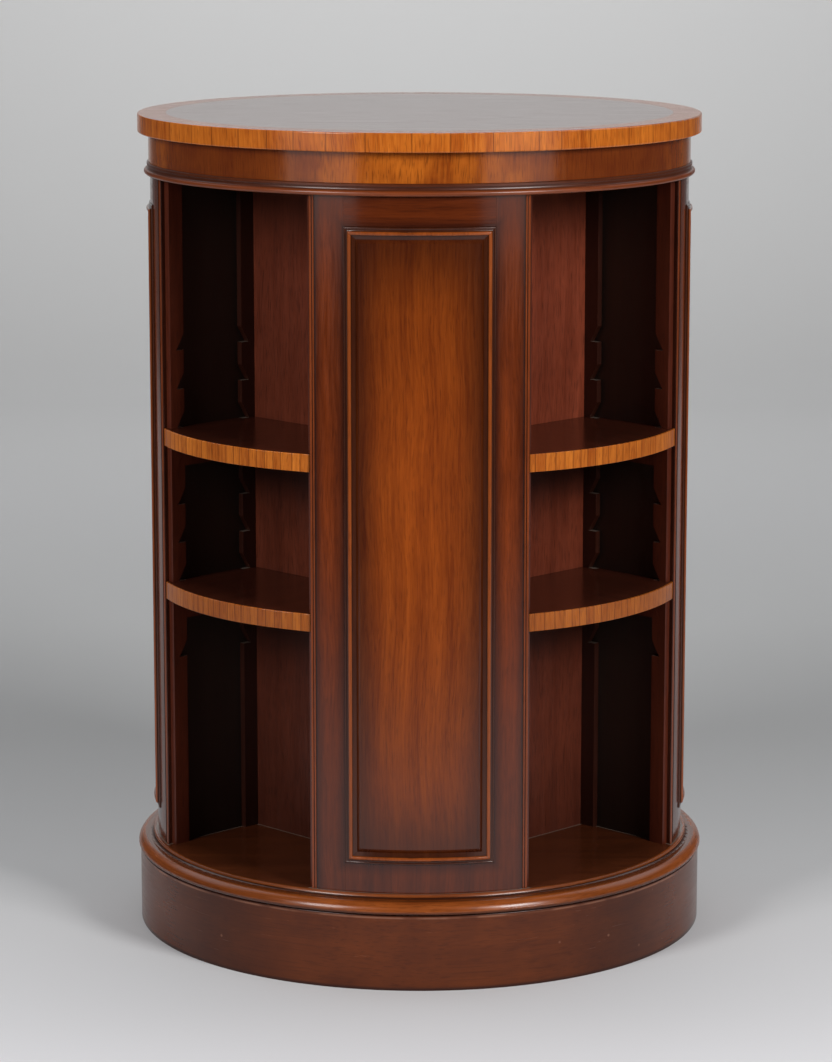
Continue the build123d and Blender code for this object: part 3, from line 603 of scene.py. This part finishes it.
def matt_paper():
    """Matt paper: no gloss, with painted light and shade: greys that stand for how the lights fall as the roll
    runs back and bends up, and painted shade at its sides.
    """
    paper = bpy.data.materials.new("matt_paper_roll")
    paper.use_nodes = True
    tree = paper.node_tree
    shader = tree.nodes["Principled BSDF"]
    point = node(tree, "ShaderNodeTexCoord").outputs["Object"]
    across, back, rise = node(tree, "ShaderNodeSeparateXYZ", {}, {0: point}).outputs
    along = node(tree, "ShaderNodeMath", {"operation": "ADD"}, {0: back, 1: rise})
    first, last = PAPER_PAINTED_GREYS[0][0], PAPER_PAINTED_GREYS[-1][0]
    along = node(tree, "ShaderNodeMapRange", {}, {"Value": along, "From Min": first, "From Max": last})
    ramp = node(tree, "ShaderNodeValToRGB", {}, {0: along})
    while len(ramp.color_ramp.elements) < len(PAPER_PAINTED_GREYS):
        ramp.color_ramp.elements.new(0.5)
    for element, (distance, grey) in zip(ramp.color_ramp.elements, PAPER_PAINTED_GREYS):
        element.position = (distance - first) / (last - first)
        element.color = linear(grey)
    aside = node(tree, "ShaderNodeMath", {"operation": "ABSOLUTE"}, {0: across})
    painted_side_shade = node(tree, "ShaderNodeMapRange", {"interpolation_type": "SMOOTHSTEP"},
                {"Value": aside, "From Min": PAPER_PALE_HALF, "From Max": PAPER_DARK_HALF,
                 "To Min": 1.0, "To Max": PAPER_SHADE})
    tone = node(tree, "ShaderNodeVectorMath", {"operation": "SCALE"}, {0: ramp.outputs[0], "Scale": painted_side_shade})
    tree.links.new(tone.outputs[0], shader.inputs["Base Color"])
    shader.inputs["Roughness"].default_value = 0.9
    shader.inputs["Specular IOR Level"].default_value = 0.15
    return paper


def dark_floor():
    """Dull grey studio floor round the paper, dark enough that the polish mirrors little of it."""
    floor = bpy.data.materials.new("dull_dark_floor")
    floor.use_nodes = True
    tree = floor.node_tree
    shader = tree.nodes["Principled BSDF"]
    point = node(tree, "ShaderNodeTexCoord").outputs["Object"]
    scuffs = node(tree, "ShaderNodeTexNoise", {},
                  {"Vector": point, "Scale": 1 / mm(SCUFF_WIDTH), "Detail": 3.0})
    tone = node(tree, "ShaderNodeMix", {"data_type": "RGBA"},
                {0: scuffs.outputs[0], COLOUR_A: linear("#5C5C5D"), COLOUR_B: linear("#666667")})
    tree.links.new(tone.outputs[MIXED_COLOUR], shader.inputs["Base Color"])
    shader.inputs["Roughness"].default_value = 0.95
    shader.inputs["Specular IOR Level"].default_value = 0.1
    return floor


paper_line = [(PAPER_FRONT, 0.0), (0.0, 0.0), (SWEEP_START / 2, 0.0), (SWEEP_START, 0.0)]
for step in range(1, SWEEP_STEPS + 1):
    bend = pi / 2 * step / SWEEP_STEPS
    paper_line.append((SWEEP_START + SWEEP_RADIUS * sin(bend), SWEEP_RADIUS * (1 - cos(bend))))
paper_line.append((SWEEP_START + SWEEP_RADIUS, SWEEP_RADIUS + WALL_HEIGHT))
paper_points = [(side * PAPER_HALF_WIDTH, back, rise) for back, rise in paper_line for side in (-1, 1)]
paper_faces = [(2 * row, 2 * row + 1, 2 * row + 3, 2 * row + 2) for row in range(len(paper_line) - 1)]
stage_piece("paper_roll", paper_points, paper_faces, matt_paper())
room_points = [(right * ROOM_HALF_WIDTH, back * ROOM_HALF_WIDTH, -PAPER_LIFT)
               for right, back in ((-1, -1), (1, -1), (1, 1), (-1, 1))]
stage_piece("studio_floor", room_points, [(0, 1, 2, 3)], dark_floor())


def softbox(name, place, target, size, power):
    """A rectangular soft light at a place, facing a target, with its width and height and power in watts."""
    light = bpy.data.lights.new(name, "AREA")
    light.shape = "RECTANGLE"
    light.size, light.size_y = size
    light.energy = power
    lamp = bpy.data.objects.new(name, light)
    lamp.location = place
    lamp.rotation_euler = (Vector(target) - lamp.location).to_track_quat("-Z", "Y").to_euler()
    lamp.visible_camera = False
    bpy.context.scene.collection.objects.link(lamp)


# A softbox either side of the camera, each over a dim white skirt that the polish mirrors at the bookcase's
# shoulders. A third light hangs behind the bookcase and lights only the paper
LIGHT_TURN = radians(40)
LIGHT_DISTANCE = 2.6
for side, name, power in ((-1, "left", 38), (1, "right", 54)):
    turn = side * LIGHT_TURN
    stand = (LIGHT_DISTANCE * sin(turn), -LIGHT_DISTANCE * cos(turn))
    softbox(f"{name}_softbox", (*stand, 1.68), (0, 0, 0.42), (0.75, 1.1), power)
    softbox(f"{name}_skirt", (*stand, 0.67), (0, 0, 0.67), (1.35, 0.5), 2.0)
softbox("backdrop_light", (0, 2.4, 2.9), (0, SWEEP_START + SWEEP_RADIUS, 1.5), (2.6, 0.8), 67)

# The room is dim: dull walls near the horizon, and a soft glow from the ceiling behind that lights the back.
# A way is a direction of length 1, so its parts run from -1 to 1
world = bpy.data.worlds.new("studio_room")
world.use_nodes = True
room = world.node_tree
way = node(room, "ShaderNodeTexCoord").outputs["Generated"]
_, back, up = node(room, "ShaderNodeSeparateXYZ", {}, {0: way}).outputs
walls = node(room, "ShaderNodeMapRange", {"interpolation_type": "SMOOTHSTEP"},
             {"Value": up, "From Min": 0.4, "From Max": 0.1, "To Min": 0.03, "To Max": 0.05})
ceiling = node(room, "ShaderNodeMapRange", {"interpolation_type": "SMOOTHSTEP"},
               {"Value": up, "From Min": 0.42, "From Max": 0.62, "To Max": 1.5})
behind = node(room, "ShaderNodeMapRange", {"interpolation_type": "SMOOTHSTEP"},
              {"Value": back, "From Min": 0.0, "From Max": 0.35})
glow = node(room, "ShaderNodeMath", {"operation": "MULTIPLY_ADD"}, {0: ceiling, 1: behind, 2: walls})
room.nodes["Background"].inputs["Color"].default_value = linear("#E4E6EA")
room.links.new(glow.outputs[0], room.nodes["Background"].inputs["Strength"])
bpy.context.scene.world = world
bpy.context.scene.view_settings.view_transform = "Standard"

# Camera: the photograph's place, tilt and lens
camera = bpy.data.cameras.new("photographer")
camera.lens = 125.36
camera.sensor_width = 36.0
eye = bpy.data.objects.new("photographer", camera)
eye.location = (-0.0032, -3.4264, 1.0081)
eye.rotation_euler = (pi / 2 - 0.185, 0, 0)
bpy.context.scene.collection.objects.link(eye)
bpy.context.scene.camera = eye
